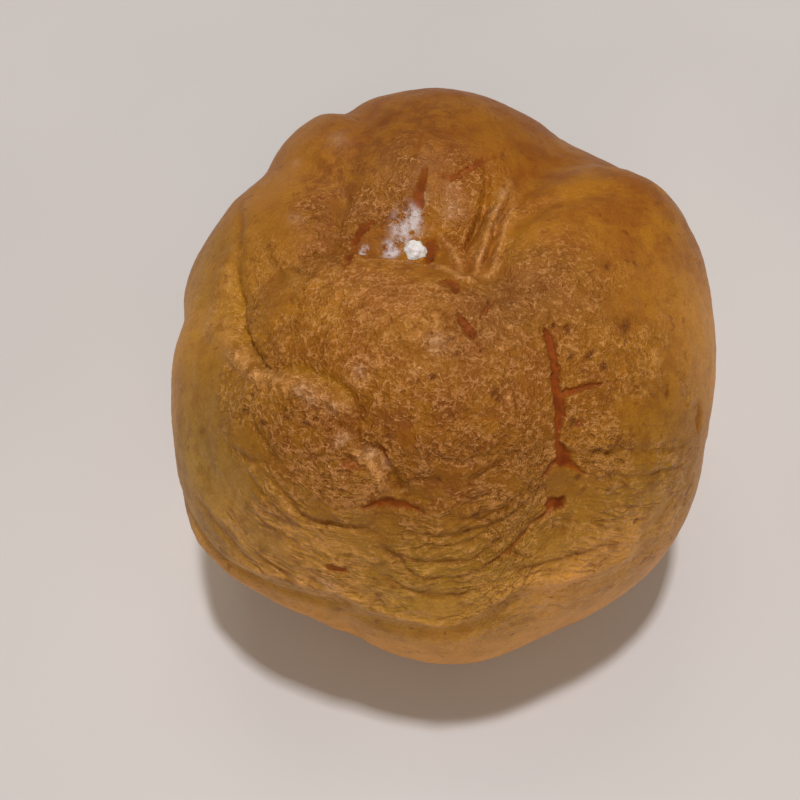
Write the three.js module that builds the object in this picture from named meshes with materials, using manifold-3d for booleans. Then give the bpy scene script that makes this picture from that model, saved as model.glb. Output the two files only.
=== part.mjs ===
import * as THREE from 'three';
import { mergeVertices } from 'three/addons/utils/BufferGeometryUtils.js';
import Module from 'manifold-3d';

// A baked choux bun: a rounded body swollen into lobes round a sunken top, resting on a
// flat underside, with a dab of the cream filling showing in the sunken top.
// Millimetres, +Z up, the front of the bun towards -Y.

// ---------- the body ----------
const HEART_HEIGHT = 24;         // height of the point that the bun swells from
const GLOBE = 40;                // radius on which the widths of lobes and folds are measured
const BODY_HALF_WIDTH = 36.5;
const BODY_HALF_DEPTH = 37.5;
const BODY_RISE = 31;            // from the heart to the crown of the plain body
const BODY_DROP = 27.5;          // from the heart to its foot, cut off level by the tray
const ROUNDNESS_ABOVE = 2.35;    // power of the curve from waist to crown, 2 being an ellipse
const ROUNDNESS_BELOW = 3.0;     // squarer, where the dough spread on the tray

// ---------- soft swellings of the waist ----------
// lon and lat are where each sits, in degrees round and above the heart (lon 0 = +X, 90 = +Y)
const SWELLS = [
  { name: 'right shoulder', lon: 28, lat: 18, wide: 18, tall: 20, rise: 5.0 },
  { name: 'rear right', lon: 21, lat: 42, wide: 9, tall: 8, rise: 1.6 },
  { name: 'rear', lon: 74, lat: 34, wide: 20, tall: 18, rise: 2.7 },
  { name: 'rear left', lon: 112, lat: 30, wide: 16, tall: 18, rise: 2.4 },
  { name: 'left', lon: 168, lat: 12, wide: 15, tall: 18, rise: 1.2 },
  { name: 'left waist', lon: -178, lat: 30, wide: 7, tall: 8, rise: 1.0 },
  { name: 'left front', lon: -146, lat: -8, wide: 16, tall: 18, rise: 4.2 },
  { name: 'front', lon: -92, lat: -16, wide: 13, tall: 18, rise: 2.6 },
  { name: 'right front', lon: -42, lat: -4, wide: 14, tall: 16, rise: 1.2 },
];

// ---------- lobes ----------
// wide and tall are half sizes on the globe, turn tips them, rise is their height, and a
// smaller shoulder makes the side steeper. Lobes that sink slope into the sunken top.
const LOBES = [
  { name: 'front dome', lon: -116, lat: 60, wide: 27, tall: 17, turn: -4, rise: 4.8, shoulder: 0.45 },
  { name: 'middle strip', lon: -72, lat: 56, wide: 10, tall: 17, turn: 0, rise: 3.8, shoulder: 0.5 },
  { name: 'right', lon: -22, lat: 44, wide: 29, tall: 22, turn: 30, rise: 4.8, shoulder: 0.5 },
  { name: 'rear', lon: 92, lat: 42, wide: 21, tall: 25, turn: 0, rise: 4.8, shoulder: 0.9, sinks: true },
  { name: 'rear left', lon: 119, lat: 38, wide: 13, tall: 17, turn: 0,
    rise: 5.2, shoulder: 0.8, sinks: true },
  { name: 'left', lon: 155, lat: 37, wide: 18, tall: 18, turn: 0, rise: 4.4, shoulder: 0.6, sinks: true },
  { name: 'left front', lon: -143, lat: 26, wide: 27, tall: 19, turn: -12, rise: 4.6, shoulder: 0.42 },
  { name: 'left ridge', lon: -133, lat: 37, wide: 16, tall: 13, turn: 0, rise: 5.6, shoulder: 0.42 },
  { name: 'low front', lon: -95, lat: 12, wide: 34, tall: 18, turn: 0, rise: 3.0, shoulder: 0.5 },
  { name: 'front step', lon: -86, lat: 37, wide: 17, tall: 9, turn: 0, rise: 2.8, shoulder: 0.7 },
  { name: 'low right', lon: -50, lat: 8, wide: 26, tall: 20, turn: 0, rise: 3.0, shoulder: 0.6 },
];
const SHOULDER_EASE = 0.15;      // rounds the foot of a steep lobe
const CREASE_ROUNDING = 0.5;     // rounds the valley where two lobes meet

// ---------- sunken top ----------
const HOLLOW = { lon: 140, lat: 82, wide: 12, tall: 8, turn: 20 };
const HOLLOW_DEPTH = 4.0;

// ---------- folds ----------
// each runs through a few places (lon, lat) and fades out at both ends; a depth below 0 is a ridge
const FOLDS = [
  { name: 'long split',
    route: [[-51, 61], [-60, 51], [-65, 44], [-66, 38]], half: 2.0, depth: 1.0 },
  { name: 'split foot',
    route: [[-66, 38], [-71, 31], [-79, 27], [-86, 23]], half: 2.0, depth: 0.8 },
  { name: 'front tuck',
    route: [[-120, 50], [-115, 44], [-107, 41], [-104, 36], [-98, 34]], half: 1.9, depth: 0.8 },
  { name: 'ledge ridge',
    route: [[-170, 41], [-150, 44], [-133, 49], [-123, 49]], half: 1.9, depth: -0.4 },
  { name: 'left crest',
    route: [[162, 46], [178, 41], [-165, 40], [-156, 43]], half: 1.9, depth: -0.5 },
  { name: 'left crease',
    route: [[172, 44], [-166, 44], [-147, 46], [-138, 51], [-120, 51]], half: 1.9, depth: 1.0 },
  { name: 'base groove',
    route: [[-146, 6], [-134, 6], [-124, 6], [-113, 10]], half: 1.9, depth: 0.8 },
  { name: 'base lip', route: [[-156, 3], [-137, 0], [-118, 0]], half: 2.2, depth: -0.9 },
  { name: 'lip line', route: [[-113, 6], [-100, 7], [-87, 10], [-72, 13]], half: 1.9, depth: 0.5 },
  { name: 'rear notch', route: [[112, 24], [109, 46], [112, 54]], half: 2.4, depth: 1.2 },
  { name: 'rear valley', route: [[21, 53], [23, 65], [18, 72], [-5, 76]], half: 2.0, depth: 0.8 },
];
const FOLD_END = 0.08;           // share of a fold's length that its faded ends leave out

// ---------- cream dab ----------
const DAB = { lon: 152, lat: 81.4 };
const DAB_HALF_WIDTH = 1.8;
const DAB_HALF_DEPTH = 2.4;
const DAB_HALF_HEIGHT = 2.0;
const DAB_SINK = 0.9;            // how far its middle lies under the crust around it
const GAP = 0.3;                 // clearance between the dab and the crust

// ---------- fineness ----------
const BUN_STEPS = 27;            // steps along each edge of the cube that is blown up to the bun
const TOP_BIAS = new THREE.Vector3(0, -0.15, 0.3);   // draws more facets to the top and front
const DAB_STEPS = 20;

const wasm = await Module();
wasm.setup();

const heart = new THREE.Vector3(0, 0, HEART_HEIGHT);

// the direction at a longitude and latitude
function direction(lon, lat) {
  const a = THREE.MathUtils.degToRad(lon);
  const b = THREE.MathUtils.degToRad(lat);
  return new THREE.Vector3(Math.cos(b) * Math.cos(a), Math.cos(b) * Math.sin(a), Math.sin(b));
}

// a patch on the globe: its middle and the two directions that its half sizes run along
function patch({ lon, lat, wide, tall, turn = 0 }) {
  const middle = direction(lon, lat);
  const east = new THREE.Vector3(0, 0, 1).cross(middle).normalize();
  const north = new THREE.Vector3().crossVectors(middle, east);
  const t = THREE.MathUtils.degToRad(turn);
  const across = east.clone().multiplyScalar(Math.cos(t)).addScaledVector(north, Math.sin(t));
  const up = north.clone().multiplyScalar(Math.cos(t)).addScaledVector(east, -Math.sin(t));
  return { middle, across, up, wide, tall };
}

// squared distance from a patch's middle, as a share of its half sizes
function share(d, p) {
  const angle = Math.acos(Math.min(Math.max(d.dot(p.middle), -1), 1));
  const u = d.dot(p.across);
  const v = d.dot(p.up);
  const s = (GLOBE * angle) / Math.max(Math.hypot(u, v), 1e-9);
  return ((s * u) / p.wide) ** 2 + ((s * v) / p.tall) ** 2;
}

const swells = SWELLS.map((s) => ({ ...s, patch: patch(s) }));
const lobes = LOBES.map((l) => ({ ...l, patch: patch(l) }));
const hollow = patch(HOLLOW);
const folds = FOLDS.map((f) => ({ ...f, places: f.route.map(([lon, lat]) => direction(lon, lat)) }));

// the plain body with its swells
function body(d) {
  const power = d.z > 0 ? ROUNDNESS_ABOVE : ROUNDNESS_BELOW;
  const level = Math.hypot(d.x / BODY_HALF_WIDTH, d.y / BODY_HALF_DEPTH);
  const upright = Math.abs(d.z) / (d.z > 0 ? BODY_RISE : BODY_DROP);
  const plain = (level ** power + upright ** power) ** (-1 / power);
  return swells.reduce((r, s) => r + s.rise * Math.exp(-share(d, s.patch)), plain);
}

// how far the highest of the lobes stands out, with the valleys between them rounded
function lobing(d) {
  const sink = -HOLLOW_DEPTH * Math.exp(-1.5 * share(d, hollow));
  const heights = [sink];
  for (const l of lobes) {
    const q = Math.max(1 - share(d, l.patch), -1);
    const side = q * (q * q + SHOULDER_EASE ** 2) ** ((l.shoulder - 1) / 2);
    heights.push(l.rise * side + (l.sinks ? sink : 0));
  }
  const top = Math.max(...heights);
  const sum = heights.reduce((s, h) => s + Math.exp((h - top) / CREASE_ROUNDING), 0);
  return top + CREASE_ROUNDING * Math.log(sum);
}

// depth of a fold at a direction: a rounded groove along its route
function folding(d, fold) {
  const steps = fold.places.slice(1).map((b, i) => b.clone().sub(fold.places[i]));
  const whole = steps.reduce((s, v) => s + v.length(), 0);
  let nearest = Infinity;
  let along = 0;
  let walked = 0;
  steps.forEach((step, i) => {
    const from = fold.places[i];
    const t = Math.min(Math.max(d.clone().sub(from).dot(step) / step.lengthSq(), 0), 1);
    const away = d.distanceTo(from.clone().addScaledVector(step, t));
    if (away < nearest) {
      nearest = away;
      along = (walked + t * step.length()) / whole;
    }
    walked += step.length();
  });
  const fade = Math.sqrt(Math.sin(Math.PI * (FOLD_END + (1 - 2 * FOLD_END) * along)));
  return fold.depth * fade * Math.exp(-(((nearest * GLOBE) / fold.half) ** 2));
}

// distance from the heart to the crust
function crust(d) {
  return folds.reduce((r, f) => r - folding(d, f), body(d) + lobing(d));
}

// a cube's grid blown up evenly to unit directions, drawn towards the top and front
function directions(steps) {
  const box = new THREE.BoxGeometry(2, 2, 2, steps, steps, steps);
  box.deleteAttribute('normal');
  box.deleteAttribute('uv');
  const grid = mergeVertices(box, 1e-6);
  const p = grid.attributes.position;
  const v = new THREE.Vector3();
  for (let i = 0; i < p.count; i += 1) {
    v.fromBufferAttribute(p, i);
    v.set(...v.toArray().map((c) => Math.tan((c * Math.PI) / 4))).normalize();
    v.add(TOP_BIAS).normalize();
    p.setXYZ(i, v.x, v.y, v.z);
  }
  return grid;
}

function solidOf(geometry) {
  const triVerts = new Uint32Array(geometry.index.array);
  const vertProperties = new Float32Array(geometry.attributes.position.array);
  return new wasm.Manifold(new wasm.Mesh({ numProp: 3, vertProperties, triVerts }));
}

function geometryOf(solid) {
  const mesh = solid.getMesh();
  const geometry = new THREE.BufferGeometry();
  geometry.setAttribute('position', new THREE.BufferAttribute(mesh.vertProperties, 3));
  geometry.setIndex(new THREE.BufferAttribute(mesh.triVerts, 1));
  return geometry;
}

// the bun: every direction reaches out to the crust, or to the tray if that is nearer
function bun() {
  const geometry = directions(BUN_STEPS);
  const p = geometry.attributes.position;
  const d = new THREE.Vector3();
  for (let i = 0; i < p.count; i += 1) {
    d.fromBufferAttribute(p, i);
    const reach = crust(d);
    const toTray = d.z < 0 ? HEART_HEIGHT / -d.z : Infinity;
    const at = heart.clone().addScaledVector(d, Math.min(reach, toTray));
    p.setXYZ(i, at.x, at.y, toTray < reach ? 0 : at.z);
  }
  return geometry;
}

// the dab: a small round blob of cream, grown by a clearance when it cuts its own pocket
function dab(clearance) {
  const d = direction(DAB.lon, DAB.lat);
  const middle = heart.clone().addScaledVector(d, crust(d) - DAB_SINK);
  const blob = new THREE.SphereGeometry(1, DAB_STEPS, DAB_STEPS / 2);
  blob.deleteAttribute('normal');
  blob.deleteAttribute('uv');
  blob.rotateX(Math.PI / 2);
  blob.scale(DAB_HALF_WIDTH + clearance, DAB_HALF_DEPTH + clearance, DAB_HALF_HEIGHT + clearance);
  blob.translate(middle.x, middle.y, middle.z);
  return mergeVertices(blob, 1e-5);
}

const bunSolid = solidOf(bun()).subtract(solidOf(dab(GAP)));
const dabSolid = solidOf(dab(0));

function part(name, solid, color, roughness) {
  const material = new THREE.MeshStandardMaterial({ name, color, roughness });
  const mesh = new THREE.Mesh(geometryOf(solid), material);
  mesh.name = name;
  return mesh;
}

const puff = new THREE.Group();
puff.name = 'cream_puff';
puff.add(part('choux_bun', bunSolid, 0xb97e3f, 0.7));
puff.add(part('cream_dab', dabSolid, 0xefe6d2, 0.5));

// stand it with the middle of its box over the origin
const box = new THREE.Box3().setFromObject(puff);
const middle = box.getCenter(new THREE.Vector3());
puff.children.forEach((mesh) => {
  mesh.geometry.translate(-middle.x, -middle.y, 0);
  mesh.geometry.computeVertexNormals();
});

export default puff;
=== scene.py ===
"""A cream puff: a baked choux bun with a dab of cream and a little sugar in its sunken top.

The crust is star-shaped round a point in the bun's middle, called the heart: each direction
from the heart meets the crust once. Lobes, folds and splits are placed on a globe round the
heart by longitude (0 = +X, 90 = +Y) and latitude, in degrees, and measured in millimetres.
"""
import logging
import math
import random
from collections.abc import Callable
from dataclasses import dataclass, field
from enum import Enum

import bmesh
import bpy
import numpy as np
from mathutils import Matrix, Vector


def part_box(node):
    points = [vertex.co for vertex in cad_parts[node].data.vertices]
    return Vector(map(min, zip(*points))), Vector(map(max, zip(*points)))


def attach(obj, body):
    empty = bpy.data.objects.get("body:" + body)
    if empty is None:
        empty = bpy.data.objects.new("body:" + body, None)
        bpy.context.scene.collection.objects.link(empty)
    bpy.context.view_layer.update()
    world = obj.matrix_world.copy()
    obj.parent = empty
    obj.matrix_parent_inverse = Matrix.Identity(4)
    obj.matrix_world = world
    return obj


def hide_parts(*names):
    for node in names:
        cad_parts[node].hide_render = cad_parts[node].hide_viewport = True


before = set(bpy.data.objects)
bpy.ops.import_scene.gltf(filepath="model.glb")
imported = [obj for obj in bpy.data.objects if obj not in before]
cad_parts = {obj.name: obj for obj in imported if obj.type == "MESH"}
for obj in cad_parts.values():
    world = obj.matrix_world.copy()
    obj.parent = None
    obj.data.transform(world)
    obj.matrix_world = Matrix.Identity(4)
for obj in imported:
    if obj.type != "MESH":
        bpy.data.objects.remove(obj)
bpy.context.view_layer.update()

log = logging.getLogger("cream_puff")
MM = 0.001
TINY = 1e-9
Socket = bpy.types.NodeSocket
Color = tuple[float, float, float, float]


# ---------------------------------------------------------------- small helpers


def smoothstep(low: float, high: float, value: np.ndarray) -> np.ndarray:
    """Rises smoothly from 0 to 1 as value goes from low to high.

    Args:
        low: where the rise starts.
        high: where it ends.
        value: the values to judge.

    Returns:
        The eased share, the shape of value.
    """
    t = np.clip((value - low) / (high - low), 0.0, 1.0)
    return t * t * (3.0 - 2.0 * t)


def direction(lon: float, lat: float) -> np.ndarray:
    """The unit direction from the heart at a longitude and latitude.

    Args:
        lon: degrees round the heart.
        lat: degrees above its level.

    Returns:
        A vector of length 1.
    """
    a, b = math.radians(lon), math.radians(lat)
    return np.array([math.cos(b) * math.cos(a), math.cos(b) * math.sin(a), math.sin(b)])


class Grain:
    """A smooth random field in space, the same on every run."""

    SLOPES: int = 256
    SWING: float = 1.6
    LAYER_STEP: float = 17.3
    RIDGE_STEP: float = 9.1

    def __init__(self, seed: int) -> None:
        """Fills the field's tables.

        Args:
            seed: picks the field.
        """
        rng = np.random.default_rng(seed)
        self.order = rng.permutation(self.SLOPES)
        slopes = rng.normal(size=(self.SLOPES, 3))
        self.slopes = slopes / np.linalg.norm(slopes, axis=1, keepdims=True)

    def at(self, p: np.ndarray) -> np.ndarray:
        """The field at some points, between about -1 and 1, with cells of size 1.

        Args:
            p: points, one a row.

        Returns:
            One value a point.
        """
        cell = np.floor(p).astype(int)
        part = p - cell
        ease = part * part * part * (part * (part * 6 - 15) + 10)
        total = np.zeros(len(p))
        last = self.SLOPES - 1
        for corner in np.ndindex(2, 2, 2):
            k = (cell + corner) & last
            pick = self.order[(self.order[(self.order[k[:, 0]] + k[:, 1]) & last] + k[:, 2]) & last]
            lean = ((part - corner) * self.slopes[pick]).sum(axis=1)
            weight = np.prod(np.where(corner, ease, 1 - ease), axis=1)
            total += weight * lean
        return total * self.SWING

    def pushes(self, p: np.ndarray, size: float, apart: float) -> np.ndarray:
        """Smooth random pushes, a different one along each axis.

        Args:
            p: points, one a row.
            size: how far apart the pushes change.
            apart: how far apart the three axes read the field.

        Returns:
            One push a point, each part between about -1 and 1.
        """
        return np.stack([self.at(p / size + k * apart) for k in range(3)], axis=1)

    def layered(self, p: np.ndarray, octaves: int, gain: float = 0.5) -> np.ndarray:
        """Several layers of the field, each twice as fine as the last.

        Args:
            p: points, one a row.
            octaves: how many layers.
            gain: strength of each layer beside the one before.

        Returns:
            One value a point, between about -1 and 1.
        """
        total = sum(gain**i * self.at(p * 2.0**i + self.LAYER_STEP * i) for i in range(octaves))
        return total / sum(gain**i for i in range(octaves))

    def ridged(self, p: np.ndarray, octaves: int, gain: float = 0.5) -> np.ndarray:
        """Thin raised lines with wide hollows between them, as on crinkled skin.

        Args:
            p: points, one a row.
            octaves: how many layers.
            gain: strength of each layer beside the one before.

        Returns:
            One value a point, from 0 in a hollow to 1 on a line.
        """
        layers = (1 - np.abs(self.at(p * 2.0**i + self.RIDGE_STEP * i)) for i in range(octaves))
        total = sum(gain**i * layer**3 for i, layer in enumerate(layers))
        return total / sum(gain**i for i in range(octaves))


# ---------------------------------------------------------------- places on the globe


GLOBE = 40.0                     # its radius in mm


@dataclass(frozen=True)
class Patch:
    """An oval patch on the globe: its middle, half sizes in mm and how far it is turned."""

    lon: float
    lat: float
    wide: float
    tall: float
    turn: float = 0.0

    def offsets(self, d: np.ndarray) -> tuple[np.ndarray, np.ndarray]:
        """How far directions lie from the middle, across and up the patch, in half sizes.

        Args:
            d: unit directions, one a row.

        Returns:
            The two offsets, each 1 at the patch's edge.
        """
        middle = direction(self.lon, self.lat)
        east = np.cross([0.0, 0.0, 1.0], middle)
        east /= np.linalg.norm(east)
        north = np.cross(middle, east)
        t = math.radians(self.turn)
        u = d @ (east * math.cos(t) + north * math.sin(t))
        v = d @ (north * math.cos(t) - east * math.sin(t))
        reach = GLOBE * np.arccos(np.clip(d @ middle, -1, 1)) / np.maximum(np.hypot(u, v), TINY)
        return reach * u / self.wide, reach * v / self.tall

    def share(self, d: np.ndarray) -> np.ndarray:
        """Squared distance from the middle: 0 there and 1 at the edge.

        Args:
            d: unit directions, one a row.

        Returns:
            One value a direction.
        """
        u, v = self.offsets(d)
        return u * u + v * v

    def fade(self, d: np.ndarray) -> np.ndarray:
        """A soft spot: 1 in the middle, about a third at the edge and 0 far away.

        Args:
            d: unit directions, one a row.

        Returns:
            One value a direction.
        """
        return np.exp(-self.share(d))


@dataclass(frozen=True)
class Lobe:
    """A lobe of the crust. A smaller shoulder makes its side steeper."""

    patch: Patch
    rise: float
    shoulder: float
    sinks: bool = False


@dataclass(frozen=True)
class Swell:
    """A soft swelling of the waist."""

    patch: Patch
    rise: float


@dataclass(frozen=True)
class Line:
    """A line on the globe through given places (lon, lat), with a half width in mm at each."""

    route: tuple[tuple[float, float, float], ...]

    def measure(self, d: np.ndarray) -> tuple[np.ndarray, np.ndarray, np.ndarray]:
        """Where directions lie beside the line.

        Args:
            d: unit directions, one a row.

        Returns:
            Distance from the line in mm, share of its length, and its half width there.
        """
        stops = np.array([direction(lon, lat) for lon, lat, _ in self.route])
        halves = np.array([half for _, _, half in self.route])
        spans = np.linalg.norm(stops[1:] - stops[:-1], axis=1)
        starts = np.concatenate([[0.0], np.cumsum(spans)]) / spans.sum()
        nearest = np.full(len(d), np.inf)
        along = np.zeros(len(d))
        for i, (a, b) in enumerate(zip(stops[:-1], stops[1:])):
            t = np.clip(((d - a) @ (b - a)) / spans[i] ** 2, 0, 1)
            away = np.linalg.norm(d - (a + t[:, None] * (b - a)), axis=1)
            closer = away < nearest
            nearest[closer] = away[closer]
            along[closer] = (starts[i] + t * (starts[i + 1] - starts[i]))[closer]
        return nearest * GLOBE, along, np.interp(along, starts, halves)


@dataclass(frozen=True)
class Fold:
    """A rounded groove that fades out at both ends. A negative depth makes it a ridge."""

    line: Line
    depth: float
    end: float = 0.08

    def cut(self, d: np.ndarray) -> np.ndarray:
        """Depth of the groove in mm.

        Args:
            d: unit directions, one a row.

        Returns:
            One value a direction.
        """
        away, along, half = self.line.measure(d)
        fade = np.sqrt(np.sin(np.pi * (self.end + (1 - 2 * self.end) * along)))
        return self.depth * fade * np.exp(-((away / half) ** 2))


@dataclass(frozen=True)
class Split:
    """A torn split in the crust, with steep edges, a smooth floor and a slightly raised lip."""

    line: Line
    depth: float
    bare: float = 1.0
    edge: float = 0.26
    floor: float = 0.7
    lip: float = 0.06
    lip_away: float = 0.7
    lip_half: float = 0.45

    def opening(self, d: np.ndarray, ragged: np.ndarray) -> np.ndarray:
        """How open the split is: 1 on a floor bare of crust and 0 outside.

        Args:
            d: unit directions, one a row.
            ragged: how far the edge wanders there, in mm.

        Returns:
            One value a direction.
        """
        away, _, half = self.line.measure(d)
        return self.bare * (1 - smoothstep(-self.edge, self.edge, away + ragged - half))

    def cut(self, d: np.ndarray, ragged: np.ndarray) -> np.ndarray:
        """Depth of the split in mm, less the lip round it.

        Args:
            d: unit directions, one a row.
            ragged: how far the edge wanders there, in mm.

        Returns:
            One value a direction.
        """
        away, _, half = self.line.measure(d)
        lip = self.lip * np.exp(-(((away + ragged - half - self.lip_away) / self.lip_half) ** 2))
        return self.floor * self.depth / self.bare * self.opening(d, ragged) - lip


# ---------------------------------------------------------------- the crust's shape


SWELLS = {
    "right shoulder": Swell(Patch(28, 18, 18, 20), 5.0),
    "rear right": Swell(Patch(21, 42, 9, 8), 1.6),
    "rear": Swell(Patch(74, 34, 20, 18), 2.7),
    "rear left": Swell(Patch(112, 30, 16, 18), 2.4),
    "left": Swell(Patch(168, 12, 15, 18), 1.2),
    "left waist": Swell(Patch(-178, 30, 7, 8), 1.0),
    "left front": Swell(Patch(-146, -8, 16, 18), 4.2),
    "front": Swell(Patch(-92, -16, 13, 18), 2.6),
    "right front": Swell(Patch(-42, -4, 14, 16), 1.2),
}

LOBES = {
    "front dome": Lobe(Patch(-116, 60, 27, 17, -4), 4.8, 0.45),
    "middle strip": Lobe(Patch(-72, 56, 10, 17), 3.8, 0.5),
    "right": Lobe(Patch(-22, 44, 29, 22, 30), 4.8, 0.5),
    "rear": Lobe(Patch(92, 42, 21, 25), 4.8, 0.9, sinks=True),
    "rear left": Lobe(Patch(119, 38, 13, 17), 5.2, 0.8, sinks=True),
    "left": Lobe(Patch(155, 37, 18, 18), 4.4, 0.6, sinks=True),
    "left front": Lobe(Patch(-143, 26, 27, 19, -12), 4.6, 0.42),
    "left ridge": Lobe(Patch(-133, 37, 16, 13), 5.6, 0.42),
    "low front": Lobe(Patch(-95, 12, 34, 18), 3.0, 0.5),
    "front step": Lobe(Patch(-86, 37, 17, 9), 2.8, 0.7),
    "low right": Lobe(Patch(-50, 8, 26, 20), 3.0, 0.6),
}

HOLLOW = Patch(140, 82, 12, 8, 20)
RING_STOPS = 12
RING_END = 0.3


def groove(depth: float, half: float, *places: tuple[float, float]) -> Fold:
    """A fold of one width throughout.

    Args:
        depth: its depth in mm, less than 0 for a ridge.
        half: its half width in mm.
        places: the (lon, lat) it runs through.

    Returns:
        The fold.
    """
    return Fold(Line(tuple((lon, lat, half) for lon, lat in places)), depth)


def ring(lon: float, lat: float, radius: float, half: float, height: float) -> Fold:
    """A raised ring, as a blister leaves round itself.

    Args:
        lon: longitude of its middle.
        lat: latitude of its middle.
        radius: its radius in mm.
        half: half width of the raised line in mm.
        height: how far it stands up in mm.

    Returns:
        The fold.
    """
    reach = math.degrees(radius / GLOBE)
    turns = [math.radians(360 / RING_STOPS * k) for k in range(RING_STOPS + 1)]
    across = 1 / math.cos(math.radians(lat))
    places = [(lon + reach * across * math.cos(t), lat + reach * math.sin(t), half) for t in turns]
    return Fold(Line(tuple(places)), -height, RING_END)


# the larger folds and ridges, which shape the light and shade on the bun
FOLDS = {
    "blister ring": ring(-122, 56, 1.9, 0.28, 0.22),
    "inner ring": ring(-121, 55.5, 1.1, 0.25, 0.2),
    "base groove": groove(0.9, 1.2, (-137, 5), (-131, 6), (-124, 6.5), (-118, 7.5), (-113, 10)),
    "base line": groove(0.5, 0.8, (-154, 8), (-146, 7), (-140, 6), (-134, 6)),
    "base lip": groove(-1.0, 1.7, (-156, 3), (-146, 2.5), (-137, 0.5), (-127, -1), (-118, 0)),
    "lip notch": groove(0.9, 1.5, (-113, -10), (-113, -4), (-112, 2)),
    "rear notch": groove(1.2, 2.2, (112, 24), (110, 36), (109, 46), (112, 54)),
    "base ridge": groove(-0.5, 0.9, (-142, 9), (-130, 11), (-121, 13), (-114, 14), (-108, 12)),
    "lip line": groove(0.6, 1.3, (-113, 6), (-107, 7), (-100, 7), (-93, 7), (-87, 10), (-82, 14)),
    "lip ridge": groove(-0.4, 0.6, (-112, 11), (-105, 11), (-99, 10), (-93, 10), (-88, 13), (-83, 17)),
    "low right ridge": groove(-0.5, 1.1, (-85, 16), (-78, 17), (-72, 15), (-65, 13), (-58, 12)),
    "left crease": groove(1.1, 0.7, (172, 44), (-177, 44), (-166, 44), (-157, 45), (-147, 46), (-143, 49)),
    "ledge crease": groove(0.5, 0.8, (-143, 49), (-138, 51), (-131, 52), (-124, 52), (-118, 50)),
    "ledge ridge": groove(
        -0.55, 1.1, (-170, 41), (-160, 42), (-150, 44.5), (-141, 47), (-133, 49), (-123, 49),
    ),
    "stair crease": groove(0.5, 0.6, (-118, 49), (-116, 45), (-111, 44), (-107, 41), (-104, 37), (-99, 36)),
    "stair ridge": groove(-0.5, 0.6, (-120, 45), (-115, 42.5), (-111, 41), (-108, 38), (-105, 35)),
    "strip crease": groove(0.2, 0.5, (-99, 36), (-93, 36.5), (-88, 39), (-84, 41), (-79, 43)),
    "split crease": groove(0.4, 0.45, (-46, 67), (-49, 64), (-50, 62)),
    "left crest": groove(-0.35, 1.3, (162, 46), (169, 44), (178, 41), (-173, 38), (-165, 40), (-156, 43)),
    "rim line": groove(-0.25, 0.4, (-174, 69), (-165, 77), (-155, 80), (165, 86), (-103, 87), (-70, 83)),
    "rear valley": groove(0.8, 1.5, (21, 53), (21, 60), (23, 65), (18, 72), (-5, 76)),
    "fan crease far": groove(1.2, 0.7, (62, 65), (56, 69), (49, 74), (40, 79), (30, 83)),
    "fan ridge far": groove(
        -1.2, 0.75, (49, 64), (44, 69), (36, 74), (19, 79), (-9, 81), (-44, 80), (-66, 78.5),
    ),
    "fan crease near": groove(1.1, 0.55, (41, 67), (37, 71), (30, 75), (18, 76.5), (-6, 79), (-34, 79.5)),
    "fan ridge near": groove(-0.7, 0.65, (43, 65), (36, 69), (22, 74), (0, 77), (-30, 77.5), (-50, 77)),
    "fan crease middle": groove(0.7, 0.5, (51, 72), (48, 76), (30, 83), (0, 85)),
    "fan ridge middle": groove(-0.8, 0.55, (93, 81), (60, 86), (-30, 86), (-62, 82)),
    "fan crease inner": groove(0.5, 0.45, (80, 84), (10, 87), (-50, 84)),
    "rim ridge": groove(-0.9, 0.8, (-140, 87), (-95, 86), (-76, 83), (-70, 80), (-62, 78)),
    "rim drop": groove(
        1.4, 0.75, (-176.6, 71), (-176, 75), (-176, 79), (-176, 81.6), (180, 84.4), (160, 86.5),
    ),
    "right crease": groove(0.35, 0.5, (-63, 38), (-58, 36), (-52, 34), (-47, 31), (-43, 29)),
}
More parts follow.
